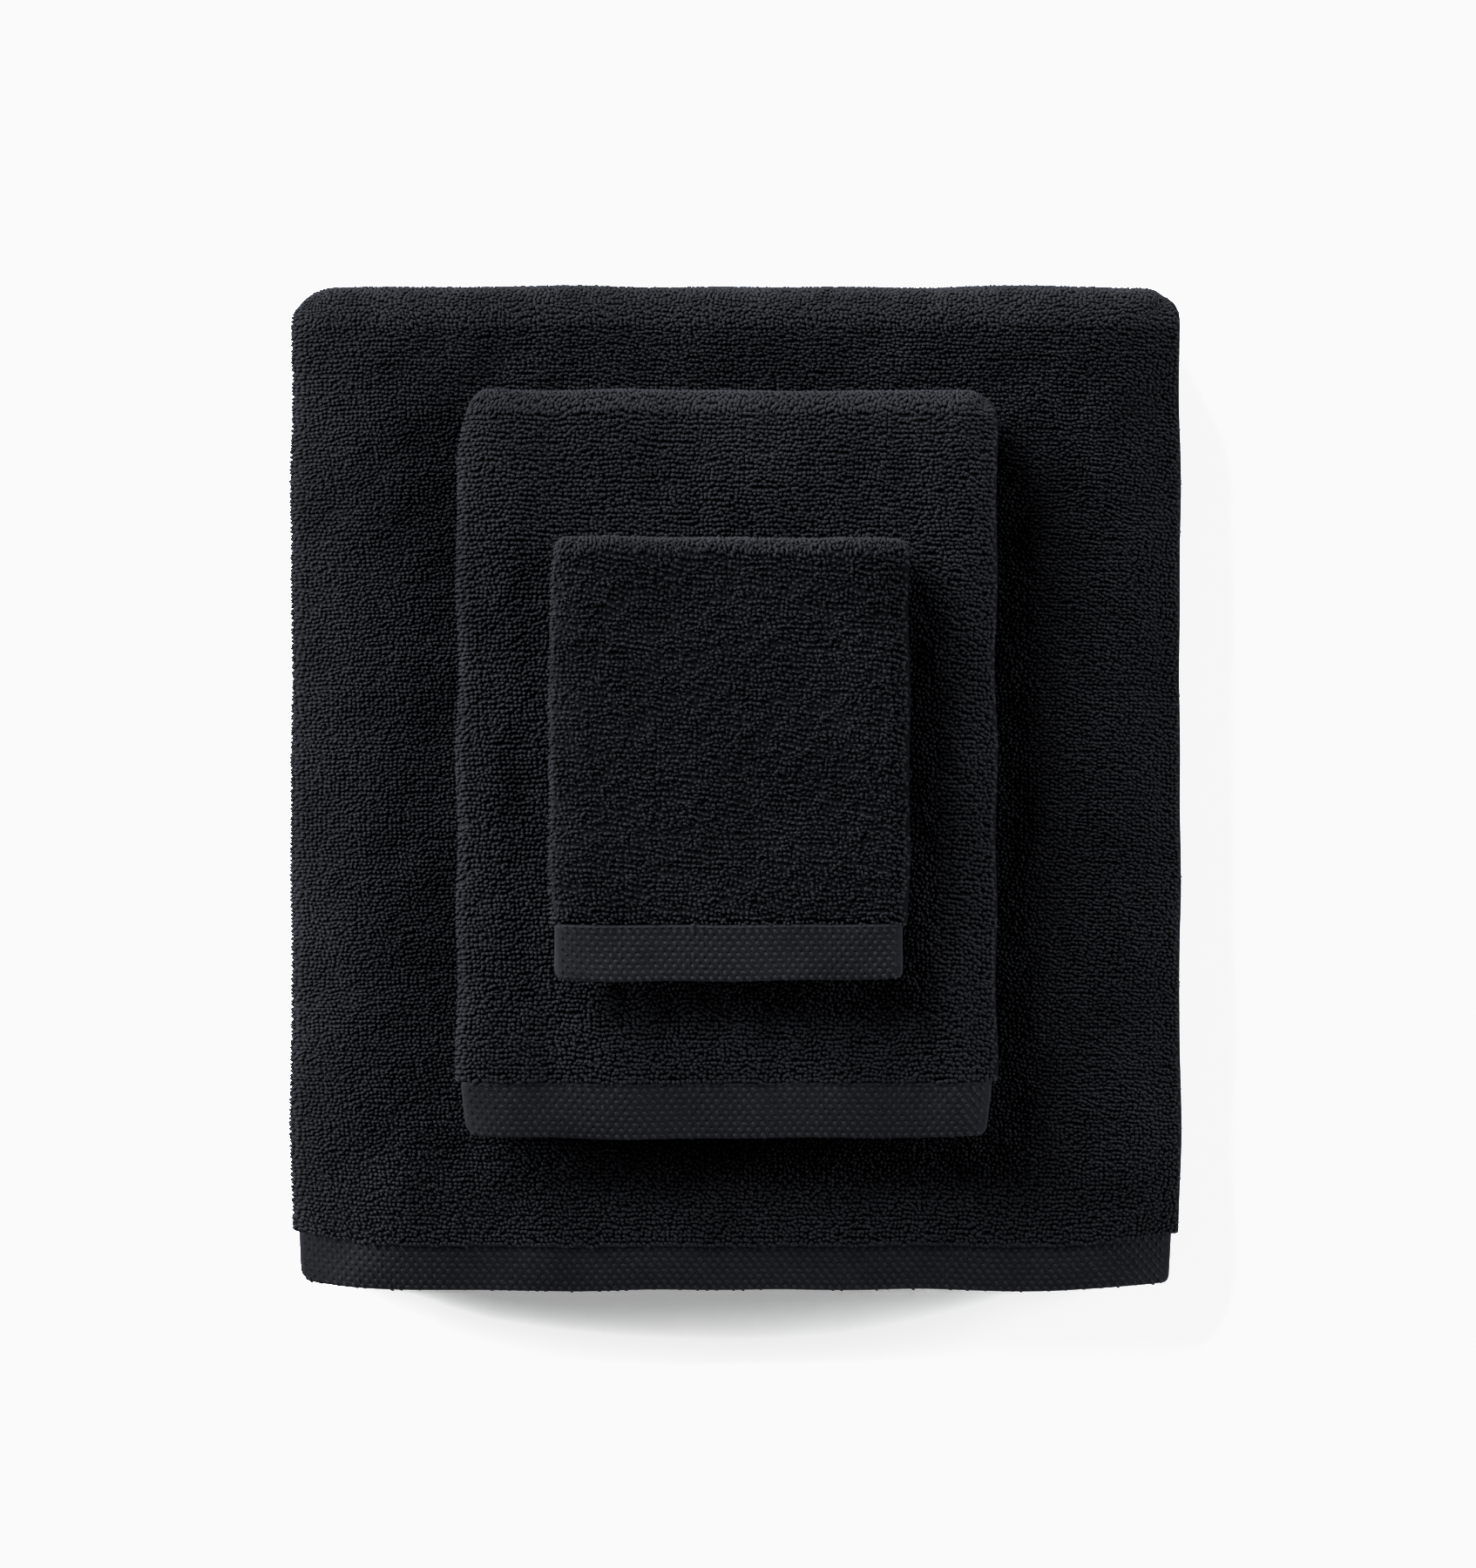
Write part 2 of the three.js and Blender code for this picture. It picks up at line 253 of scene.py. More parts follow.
class Towel:
    """Where a folded towel lies, from its CAD nodes, how its cloth runs through it, and how it sags.

    The run of the cloth is a list of stretches: straight ones, with a turn (an odd number) after each.
    """

    def __init__(self, name, bodies, leaves, cloth_nodes, form, pile, seed):
        self.name = name
        self.body, self.upper_body = bodies
        self.cloth_nodes = cloth_nodes
        self.form = form
        self.pile = pile
        self.seed = seed
        boxes = [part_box(node) for node in cloth_nodes]
        shown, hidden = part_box(f"{name}_shown_border"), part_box(f"{name}_hidden_border")
        self.left, self.right = shown[0].x, shown[1].x
        self.front, self.back = shown[0].y, max(high.y for _, high in boxes)
        self.base = min(low.z for low, _ in boxes)
        self.height = max(high.z for _, high in boxes) - self.base
        self.centre_x = (self.left + self.right) / 2
        self.centre_y = (self.front + self.back) / 2
        self.leaf = (self.height - (leaves - 1) * LEAF_GAP) / leaves
        self.border = shown[1].y - shown[0].y
        self.cloth = Fold(self.left, self.right, self.leaf / 2)
        inset = form["border_inset"]
        self.band = Fold(self.left + inset, self.right - inset, BORDER_PLY)
        self.run = self.run_of(leaves, shown[1].y, hidden)
        self.length = sum(length for length, _ in self.run)
        self.extent = self.cloth.width, self.length
        self.lumps = Ripple(seed, form["lump_size"])
        self.creases = Ripple(seed + 1, form["lump_size"] / 3)
        self.edge_wave = Ripple(seed + 2, EDGE_WAVE_LENGTH)
        self.sway = Ripple(seed + 3, SWAY_LENGTH)

    def run_of(self, leaves, terry_y, hidden):
        """The run, from the shown border over the back turn to the hidden border."""
        rise = self.leaf + LEAF_GAP
        back_radius, front_radius = (leaves - 1) * rise / 2, rise / 2
        middle_z = [self.base + self.leaf / 2 + number * rise for number in range(leaves)]
        self.back_y = back_y = self.back - back_radius - self.leaf / 2
        run = [line(terry_y, back_y, middle_z[-1])]
        run.append(turn(back_y, middle_z[0] + back_radius, back_radius, math.pi / 2))
        if leaves == 2:
            run.append(line(back_y, hidden[1].y, middle_z[0]))
            return run
        front_y = self.front + self.form["setback"] + front_radius + self.leaf / 2
        run.append(line(back_y, front_y, middle_z[0]))
        run.append(turn(front_y, middle_z[0] + front_radius, front_radius, -math.pi / 2))
        run.append(line(front_y, hidden[0].y, middle_z[1]))
        return run

    def stretch(self, number):
        """(start, end) along the cloth of one stretch of the run."""
        lengths = [length for length, _ in self.run]
        return sum(lengths[:number]), sum(lengths[:number + 1])

    def rows(self, apart):
        """Rows that far apart on the visible face, so closer together in the middle of a turn."""
        rows = []
        for number, (length, _) in enumerate(self.run):
            start, end = self.stretch(number)
            radius = length / math.pi
            closer = radius / (radius + self.leaf / 2) if number % 2 else 1
            rows.append(np.arange(start + FIRST_ROW, end, apart * closer))
        return np.concatenate(rows)

    def middle_of(self, along):
        """(y, z) of the middle of the leaf, and its outward direction."""
        middle, start = np.zeros((4, *along.shape)), 0.0
        for number, (length, at) in enumerate(self.run):
            after = along >= start if number else np.full(along.shape, True)
            before = along < start + length if number < len(self.run) - 1 else after
            here = after & before
            middle[:, here] = at(along[here] - start)
            start += length
        return middle

    def place(self, fold, along, across, out):
        """Points in the shared frame for places in the cloth, or in a piece folded like it."""
        x, lift = fold.at(across, out)
        if fold is self.band:
            lift = lift + BAND_LIFT * (self.leaf / 2 - BORDER_PLY)
            slide = 0.0
        else:
            side = np.minimum(x - self.left, self.right - x)
            overhang = self.form["overhang"] * (1 - shoulder(side, OVERHANG_FADE))
            slide = overhang * shoulder(along, OVERHANG_REACH)
        y, z, out_y, out_z = self.middle_of(along - slide)
        points = np.stack([
            self.lower_narrowed(x, along),
            y + out_y * lift,
            z + out_z * lift - self.border_drop(along),
        ], axis=-1)
        return self.settle(points.reshape(-1, 3))

    def lower_narrowed(self, x, along):
        """The lower leaves lie a little inside the top one, and wander sideways."""
        start, end = self.stretch(1)
        beneath = smooth_step(2 * (along - start) / (end - start) - 1)
        narrower = 1 - beneath * self.form["lower_inset"] / (self.right - self.centre_x)
        return self.centre_x + (x - self.centre_x) * narrower + SWAY * beneath * self.sway(along, 0 * along)

    def border_drop(self, along):
        """How far the two borders droop, being thinner than the terry."""
        form = self.form
        shown = form["end_drop"] * shoulder(along + self.border, form["drop_reach"])
        from_hidden_end = self.length + self.border - along
        return shown + form["hidden_drop"] * shoulder(from_hidden_end, 2 * self.border)

    def on(self, fold):
        """place() for one folded piece."""
        return lambda along, across, out: self.place(fold, along, across, out)

    def nodes(self, ending):
        """The CAD nodes of this towel with that ending."""
        return [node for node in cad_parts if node.startswith(self.name) and node.endswith(ending)]

    def flat_size(self):
        """(width, length) of the whole cloth before it was folded, its borders included."""
        return self.cloth.width, self.length + 2 * self.border

    def join(self, piece):
        """Puts a piece that runs through all the leaves on the towel's body."""
        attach(piece, self.body)

    def settle(self, points):
        """Lets the square stack sag towards its edges, draws its corners in and makes it uneven."""
        form = self.form
        x, y, z = points.T
        inward = {
            "left": x - self.left,
            "right": self.right - x,
            "front": y - self.front,
            "back": self.back - y,
        }
        sag = sum(depth * shoulder(inward[side], reach) for side, (depth, reach) in form["sags"].items())
        uneven = form["lump"] * (self.lumps(x, y) + CREASE_SHARE * self.creases(x, y))
        z = self.pressed(y, z, (sag - uneven) / self.height)
        x, y = self.corners_rounded(x, y)
        x, y = self.ends_shaped(x, y)
        return np.stack([x, y, z], axis=-1)

    def pressed(self, y, z, share):
        """Heights after the stack is pressed by that share of them."""
        return self.base + (z - self.base) * (1 - share)

    def corners_rounded(self, x, y):
        """Draws square corners in to round ones: those of the borders, and the blunter ones at the back."""
        half_x, half_y = (self.right - self.left) / 2, (self.back - self.front) / 2
        for corner, radius in self.form["corners"].items():
            side_x, side_y = CORNERS[corner]
            inset = self.form["border_inset"] if side_y < 0 else 0
            in_x = side_x * (x - self.centre_x) - (half_x - inset - radius)
            in_y = side_y * (y - self.centre_y) - (half_y - radius)
            both = (in_x > 0) & (in_y > 0)
            far = np.maximum(np.hypot(in_x, in_y), 1e-9)
            blunt = (self.cloth.ply if side_x < 0 else self.cloth.ply / 2) if side_y > 0 else 0
            scale = np.where(both, blunt_max(in_x, in_y, blunt) / far - 1, 0)
            x = x + side_x * in_x * scale
            y = y + side_y * in_y * scale
        return x, y

    def ends_shaped(self, x, y):
        """Bulges the left and back folds, narrows the front end and makes the edges wander."""
        form = self.form
        half_x, half_y = (self.right - self.left) / 2, (self.back - self.front) / 2
        x = x - form["wider"] * shoulder(x - self.left, BULGE_REACH)
        y = y + form["longer"] * shoulder(self.back - y, BULGE_REACH)
        slant, reach = form["slant"]
        x = x + slant * shoulder(self.back - y, reach) * shoulder(x - self.left, 2 * reach)
        front, side = y - self.front, half_x - np.abs(x - self.centre_x)
        waist = form["waist"] * shoulder(front, WAIST_REACH) * shoulder(side, WAIST_WIDTH)
        x = x - np.sign(x - self.centre_x) * waist
        y = y + form["bow"] * shoulder(side, BOW_REACH) * shoulder(front, BOW_REACH)
        at_side = np.clip((x - self.centre_x) / half_x, -1, 1) ** 3
        x = x + form["wander"] * self.edge_wave(0 * y, y) * at_side
        at_end = np.clip((y - self.centre_y) / half_y, -1, 1) ** 3
        y = y + form["wander"] * self.edge_wave(x, 0 * x) * at_end
        return x, y


class Washcloth(Towel):
    """The washcloth, whose flap opens: its two leaves stay on their own sides of a plane between them."""

    TAPER = 5.0 * MM  # how much lower that plane is at the front than at the fold
    BEND_ZONE = 0.8 * MM  # a distance from the plane between the leaves

    def parting(self, y):
        """The height of the plane between the leaves."""
        fold_y = self.back - self.height / 2
        return self.base + self.height / 2 - self.TAPER * (fold_y - y) / (fold_y - self.front)

    def join(self, piece):
        """Works out the plane between the leaves at the fold, and bakes a piece's placement into its mesh."""
        slope = (self.parting(self.back) - self.parting(self.front)) / (self.back - self.front)
        on_plane = Vector((self.centre_x, self.back, self.parting(self.back)))
        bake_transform(piece)

    def pressed(self, y, z, share):
        """Heights after the upper leaf is pressed, with the leaves parted at the plane."""
        middle, parting = self.base + self.height / 2, self.parting(y)
        below = self.base + (z - self.base) * (parting - self.base) / (middle - self.base)
        above = parting + (z - middle) * (1 - 2 * share)
        return np.where(z < middle, below, above)


# Meshes ----------------------------------------------------------------------------------------------


def make_piece(name, points, faces, corner_uv, material, tip=None):
    """A smooth mesh object with a UV layer named OFBake.

    tip is the painted light of each point of a strand: highest at its lit crown, falling to painted shade
    down its flanks and at its sunk ends.
    """
    mesh = bpy.data.meshes.new(name)
    count, sides = faces.shape
    mesh.vertices.add(len(points))
    mesh.vertices.foreach_set("co", points.astype(np.float32).ravel())
    mesh.loops.add(count * sides)
    mesh.loops.foreach_set("vertex_index", faces.astype(np.int32).ravel())
    mesh.polygons.add(count)
    mesh.polygons.foreach_set("loop_start", np.arange(0, count * sides, sides, dtype=np.int32))
    mesh.polygons.foreach_set("use_smooth", np.ones(count, bool))
    mesh.update(calc_edges=True)
    layer = mesh.uv_layers.new(name="OFBake")
    layer.data.foreach_set("uv", corner_uv.astype(np.float32).ravel())
    if tip is not None:
        mesh.attributes.new("tip", "FLOAT", "POINT").data.foreach_set("value", tip.astype(np.float32).ravel())
    mesh.materials.append(material)
    return link(name, mesh)


def link(name, data):
    """A new object in the scene."""
    made = bpy.data.objects.new(name, data)
    bpy.context.scene.collection.objects.link(made)
    return made


def plate(name, place, along, across, top, bottom, material):
    """A closed sheet between two heights over a grid of places, folded by place(along, across, out)."""
    grid_along, grid_across = np.meshgrid(along, across, indexing="ij")
    shape = grid_along.shape
    points = np.concatenate([
        place(grid_along, grid_across, np.broadcast_to(top, shape)),
        place(grid_along, grid_across, np.broadcast_to(bottom, shape)),
    ])
    upper = np.arange(shape[0] * shape[1]).reshape(shape)
    lower = upper + upper.size

    def quads(a, b, c, d):
        return np.stack([a, b, c, d], axis=-1).reshape(-1, 4)

    faces = [
        quads(upper[:-1, :-1], upper[1:, :-1], upper[1:, 1:], upper[:-1, 1:]),
        quads(lower[:-1, :-1], lower[:-1, 1:], lower[1:, 1:], lower[1:, :-1]),
        quads(upper[:-1, 0], lower[:-1, 0], lower[1:, 0], upper[1:, 0]),
        quads(upper[:-1, -1], upper[1:, -1], lower[1:, -1], lower[:-1, -1]),
        quads(upper[0, :-1], upper[0, 1:], lower[0, 1:], lower[0, :-1]),
        quads(upper[-1, :-1], lower[-1, :-1], lower[-1, 1:], upper[-1, 1:]),
    ]
    # The upper face gets the left half of the UV square and the lower face the right half.
    flat = np.stack([
        0.48 * (grid_across - across[0]) / (across[-1] - across[0]),
        (grid_along - along[0]) / (along[-1] - along[0]),
    ], axis=-1).reshape(-1, 2)
    flat = np.concatenate([flat, flat])
    corner_uv = [flat[part] for part in faces]
    corner_uv[1] = corner_uv[1] + np.array([0.5, 0])
    corner_uv = np.concatenate([part.reshape(-1, 2) for part in corner_uv])
    return make_piece(name, points, np.concatenate(faces), corner_uv, material)


def strand_sections(rings, sides):
    """For each point of one strand, how far along, sideways and up it lies, in shares of its size."""
    at = np.linspace(-1, 1, rings + 2)[1:-1]
    angle = math.pi / 2 + 2 * math.pi * np.arange(sides) / sides
    girth = (1 - STRAND_TAPER * at ** 2)[:, None]
    reach = np.append(np.repeat(at, sides), [-1.0, 1.0])
    sideways = np.append((girth * np.cos(angle)).ravel(), [0, 0])
    upward = np.append((girth * np.sin(angle)).ravel(), [-STRAND_DIP, -STRAND_DIP])
    return reach, sideways, upward


def strand_faces(rings, sides):
    """The triangles of one strand's skin, by the numbers of its points."""
    ring = np.arange(rings * sides).reshape(rings, sides)
    following = np.roll(ring, -1, axis=1)
    first, last = rings * sides, rings * sides + 1
    faces = [(first, following[0, i], ring[0, i]) for i in range(sides)]
    faces += [(last, ring[-1, i], following[-1, i]) for i in range(sides)]
    for k in range(rings - 1):
        for i in range(sides):
            faces.append((ring[k, i], following[k, i], following[k + 1, i]))
            faces.append((ring[k, i], following[k + 1, i], ring[k + 1, i]))
    return np.array(faces)


def strands(name, place, along, across, out, shape, rings, material, extent, sides=3):
    """Many short strands, each a bent spindle with its two ends sunk in the cloth.

    shape gives each strand's angle from the across direction, length, radius (half its width), height
    (half its thickness), arch (how far its middle stands up), bend (how far it curves sideways) and light
    (how light its crown is, up to 1). rings is the number of sections between its ends.
    """
    reach, side_way, up_way = strand_sections(rings, sides)
    hump = 1 - reach ** 2
    angle = shape["angle"][:, None]
    forward = shape["length"][:, None] / 2 * reach
    sideways = shape["radius"][:, None] * side_way + shape["bend"][:, None] * hump
    upward = shape["height"][:, None] * up_way + shape["arch"][:, None] * hump
    place_along = along[:, None] + np.sin(angle) * forward - np.cos(angle) * sideways
    place_across = across[:, None] + np.cos(angle) * forward + np.sin(angle) * sideways
    points = place(place_along, place_across, out[:, None] + upward)
    first_points = np.arange(len(along)) * len(reach)
    faces = (first_points[:, None, None] + strand_faces(rings, sides)).reshape(-1, 3)
    flat = np.stack([place_across / extent[0], place_along / extent[1]], axis=-1).reshape(-1, 2)
    # painted light: each strand's crown is lit and its flanks and sunk ends get painted shade, times its own
    # random tone
    tip = shape["light"][:, None] * hump * (1 - FLANK_SHADE_SHARE + FLANK_SHADE_SHARE * up_way)
    return make_piece(name, points, faces, np.clip(flat, 0, 1)[faces].reshape(-1, 2), material, tip)


# Materials -------------------------------------------------------------------------------------------


class Nodes:
    """Builds one procedural material, a node at a time."""

    def __init__(self, name):
        self.material = bpy.data.materials.new(name)
        self.material.use_nodes = True
        self.tree = self.material.node_tree
        self.shader = self.tree.nodes["Principled BSDF"]
        self.place = self.add("ShaderNodeTexCoord").outputs["Object"]

    def add(self, kind, **values):
        node = self.tree.nodes.new(kind)
        for key, value in values.items():
            setattr(node, key, value)
        return node

    def link(self, output, target):
        self.tree.links.new(output, target)

    def set(self, **values):
        """Fixed values of the shader's inputs, whose names are written with _ for a space."""
        for key, value in values.items():
            self.shader.inputs[key.replace("_", " ")].default_value = value

    def noise(self, per_metre, detail=2.0, roughness=0.5):
        node = self.add("ShaderNodeTexNoise")
        node.inputs["Scale"].default_value = per_metre
        node.inputs["Detail"].default_value = detail
        node.inputs["Roughness"].default_value = roughness
        self.link(self.place, node.inputs["Vector"])
        return node.outputs["Fac"]

    def spread(self, value, low, high, to_low, to_high):
        """A value from that range, stretched to another one."""
        node = self.add("ShaderNodeMapRange")
        for key, number in zip(("From Min", "From Max", "To Min", "To Max"), (low, high, to_low, to_high)):
            node.inputs[key].default_value = number
        self.link(value, node.inputs["Value"])
        return node.outputs["Result"]

    def mix(self, factor, low, high):
        node = self.add("ShaderNodeMix", data_type="RGBA")
        self.link(factor, node.inputs["Factor"])
        node.inputs["A"].default_value = (*low, 1)
        node.inputs["B"].default_value = (*high, 1)
        return node.outputs["Result"]

    def times(self, colour, factor):
        node = self.add("ShaderNodeVectorMath", operation="SCALE")
        self.link(colour, node.inputs["Vector"])
        self.link(factor, node.inputs["Scale"])
        return node.outputs["Vector"]

    def bump(self, height, distance):
        node = self.add("ShaderNodeBump")
        node.inputs["Distance"].default_value = distance
        self.link(height, node.inputs["Height"])
        self.link(node.outputs["Normal"], self.shader.inputs["Normal"])


def dark_tone(level):
    """The set's cool black at that level of reflected light."""
    return [share * level for share in COOL_BLACK]


def cotton(name, low, high, grain, fibre, sheen, fibre_depth, strands=False):
    """Black cotton. grain is the size of its colour variation and fibre that of its surface, per metre.

    The crowns of strands get the high tone and their feet the low one, as light hardly reaches those.
    """
    nodes = Nodes(name)
    if strands:
        # the tip attribute is each strand's painted light: a lit crown, with painted shade at its feet and
        # flanks
        painted_crown_light = nodes.add("ShaderNodeAttribute", attribute_name="tip").outputs["Fac"]
        share = nodes.spread(painted_crown_light, 0.1, 0.6, 0, 1)
    else:
        share = nodes.spread(nodes.noise(grain), *NOISE_RANGE, 0, 1)
    fine = nodes.mix(share, dark_tone(low), dark_tone(high))
    patches = nodes.spread(nodes.noise(PATCHES, detail=3), *NOISE_RANGE, 0.82, 1.2)
    nodes.link(nodes.times(fine, patches), nodes.shader.inputs["Base Color"])
    roughness = nodes.spread(nodes.noise(grain / 2), *NOISE_RANGE, 0.82, 1.0)
    nodes.link(roughness, nodes.shader.inputs["Roughness"])
    nodes.bump(nodes.noise(fibre, detail=3, roughness=0.7), fibre_depth)
    nodes.set(Specular_IOR_Level=0.0, Sheen_Weight=sheen, Sheen_Roughness=0.45, Sheen_Tint=COOL_SHEEN)
    return nodes.material


# The towels' pieces ----------------------------------------------------------------------------------


def along_samples(towel, step, turn_steps):
    """Places along the cloth, close together in the turns."""
    samples = [np.zeros(1)]
    for number in range(len(towel.run)):
        start, end = towel.stretch(number)
        size = step if number % 2 == 0 else (end - start) / turn_steps
        samples.append(steps(start, end, size)[1:])
    return np.concatenate(samples)


def across_samples(fold, inset, step, fold_steps=12, edge_steps=5):
    """Places over the width of a folded piece, close together at its fold and its two edges."""
    edge = inset + fold.ply / 2 * np.linspace(0, 1, edge_steps) ** 2
    flat = steps(edge[-1], fold.flat, step)[1:]
    bend = steps(fold.flat, fold.middle, (fold.middle - fold.flat) * 2 / fold_steps)[1:]
    half = np.concatenate([edge, flat, bend])
    return np.concatenate([half, (fold.width - half[:-1])[::-1]])


def add_cloth(towel, materials):
    """The ground weave of the towel, as one folded sheet."""
    along = along_samples(towel, CLOTH_STEP, TURN_STEPS)
    across = across_samples(towel.cloth, SIDE_HEM, CLOTH_STEP)
    half = towel.cloth.ply / 2
    return plate(f"{towel.name}_cloth", towel.on(towel.cloth), along, across, half - GROUND_DEPTH,
                 INNER_FACE_DEPTH - half, materials["ground"])


def add_side_hem(towel, side, materials):
    """The turned selvedge of one ply, with its rolled edge outside."""
    ply, width = towel.cloth.ply, SIDE_HEM - HEM_GAP
    along = along_samples(towel, CLOTH_STEP, TURN_STEPS)
    across = np.concatenate([
        ply / 2 * np.linspace(0, 1, 7) ** 2,
        width - ply / 4 * np.linspace(1, 0, 4) ** 2,
    ])
    full = rounded(across, ply / 2) * rounded(width - across, ply / 4)
    if side == "inner":
        across, full = (towel.cloth.width - across)[::-1], full[::-1]
    half = ply / 2 - INNER_FACE_DEPTH
    top, bottom = (half - HEM_DEPTH) * full, -half * full
    return plate(f"{towel.name}_{side}_hem", towel.on(towel.cloth), along, across, top, bottom,
                 materials["hem"])


def add_stitches(name, towel, fold, along, across, out, angle, materials):
    """A row of stitches at that angle from the across direction."""
    count = len(along)
    shape = {
        "angle": np.full(count, angle),
        "length": np.full(count, STITCH["length"]),
        "radius": np.full(count, STITCH["radius"]),
        "height": np.full(count, STITCH["radius"]),
        "arch": np.full(count, STITCH["radius"]),
        "bend": np.zeros(count),
        "light": np.ones(count),
    }
    return strands(name, towel.on(fold), along, across, np.full(count, out), shape, 2, materials["thread"],
                   towel.extent)


def add_side_seam(towel, side, materials):
    """The stitches that hold one selvedge down."""
    along = np.arange(STITCH["pitch"], towel.length, STITCH["pitch"])
    across = SIDE_HEM if side == "outer" else towel.cloth.width - SIDE_HEM
    out = towel.cloth.ply / 2 - GROUND_DEPTH
    return add_stitches(f"{towel.name}_{side}_seam", towel, towel.cloth, along, across + 0 * along, out,
                        math.pi / 2, materials)


def pile_places(towel, random):
    """(along, across) of every loop that can show: rows over the width, which wander a little."""
    pile, cloth = towel.pile, towel.cloth
    rows = towel.rows(pile["row"])
    columns = np.arange(0, cloth.width, pile["column"])
    along, across = np.meshgrid(rows, columns, indexing="ij")
    across = across + random.uniform(0, pile["column"], (len(rows), 1))
    shown = np.abs(across - cloth.middle) < FOLD_STRIP + cloth.ply
    for number in towel.form["shown_outside"]:
        start, end = towel.stretch(number)
        shown |= (along >= start) & (along < end) & (across < cloth.middle)
    for number in towel.form["shown_inside"]:
        start, end = towel.stretch(number)
        shown |= (along >= start) & (along < end) & (across > cloth.middle)
    along, across = along[shown], across[shown]
    wander = Ripple(towel.seed + 11, pile["wander_size"])
    along = along + pile["wander"] * wander(along, across) + random.normal(0, 0.1 * pile["row"], along.shape)
    across = across + random.normal(0, 0.12 * pile["column"], along.shape)
    inside = (across > EDGE_CLEAR) & (across < cloth.width - EDGE_CLEAR) & (along > 0)
    return along[inside], across[inside]


def loop_shapes(towel, along, across, random):
    """How each loop of the pile lies: short twisted strokes, mostly along their rows."""
    pile, count = towel.pile, len(along)
    lean = LEAN * Ripple(towel.seed + 12, LEAN_SIZE)(along, across)
    tilt = pile["tilt"] + lean + random.normal(0, pile["tilt_spread"], count)
    length = pile["length"] * random.uniform(0.75, 1.2, count)
    radius = pile["radius"] * random.uniform(0.8, 1.15, count)
    return {
        "angle": np.radians(tilt),
        "length": length,
        "radius": radius,
        "height": pile["fullness"] * radius,
        "arch": pile["arch"] * random.uniform(0.5, 1.0, count),
        "bend": pile["radius"] * random.uniform(-0.6, 0.6, count),
        "light": random.uniform(0.65, 1.0, count),
    }


def add_pile(towel, materials):
    """The loops of the terry, in pieces of up to PIECE_FACES faces."""
    random = np.random.default_rng(towel.seed + 10)
    along, across = pile_places(towel, random)
    shape = loop_shapes(towel, along, across, random)
    pile = towel.pile
    tip = pile["arch"] + TIP_SHARE * pile["fullness"] * pile["radius"]
    out = towel.cloth.ply / 2 - tip - pile["unevenness"] * random.uniform(0, 1, len(along))
    faces_each = len(strand_faces(pile["rings"], 3))
    pieces = math.ceil(len(along) * faces_each / PIECE_FACES)
    made = []
    for number, part in enumerate(np.array_split(np.arange(len(along)), pieces)):
        some = {key: value[part] for key, value in shape.items()}
        made.append(strands(f"{towel.name}_pile_{number + 1}", towel.on(towel.cloth), along[part],
                            across[part], out[part], some, pile["rings"], materials["pile"], towel.extent))
    return made


def fold_place(towel, way):
    """place() for loops on the plane between a washcloth's leaves, standing up or down from it."""
    middle = towel.base + towel.height / 2

    def place(y, x, out):
        return towel.settle(np.stack([x, y, middle + way * out], axis=-1).reshape(-1, 3))

    return place


def add_fold_pile(towel, materials):
    """The loops over the opened fold of the washcloth, on both its bodies. Closed, they lie inside it."""
    random = np.random.default_rng(towel.seed + 40)
    pile = towel.pile
    rows = towel.back - towel.height / 2 + np.array(FOLD_ROWS)
    columns = np.arange(towel.left + FOLD_ROW_INSET, towel.right - SIDE_HEM, pile["column"])
    y, x = (grid.ravel() for grid in np.meshgrid(rows, columns, indexing="ij"))
    made = []
    for name, body, way in (("lower", towel.body, 1), ("upper", towel.upper_body, -1)):
        jittered = x + random.uniform(-0.4, 0.4, len(x)) * pile["column"]
        shape = loop_shapes(towel, y, jittered, random)
        loops = strands(f"{towel.name}_fold_pile_{name}", fold_place(towel, way), y, jittered, 0 * x, shape,
                        pile["rings"], materials["pile"], towel.extent)
        if way < 0:
            loops.data.flip_normals()
        made.append(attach(loops, body))
    return made


def border_place(towel, end):
    """place() for a border. Its along runs from its hem to the terry."""

    def place(from_hem, across, out):
        along = from_hem - towel.border if end == "shown" else towel.length + towel.border - from_hem
        return towel.place(towel.band, along, across, out)

    return place


def add_band(towel, end, materials):
    """The weave of a border: a band with a hemmed front edge."""
    along = np.concatenate([
        BORDER_PLY / 2 * np.linspace(0, 1, 6)[:-1] ** 2,
        steps(BORDER_PLY / 2, towel.border, BORDER_STEP),
    ])
    across = across_samples(towel.band, 0, CLOTH_STEP)
    from_hem, side = np.meshgrid(along, np.minimum(across, towel.band.width - across), indexing="ij")
    thick = rounded(side, BORDER_PLY / 2) * rounded(from_hem, BORDER_PLY / 2)
    top = BORDER_PLY / 2 * thick - FLOAT["height"]
    return plate(f"{towel.name}_{end}_border_band", border_place(towel, end), along, across, top,
                 -0.45 * BORDER_PLY * thick, materials["border"])


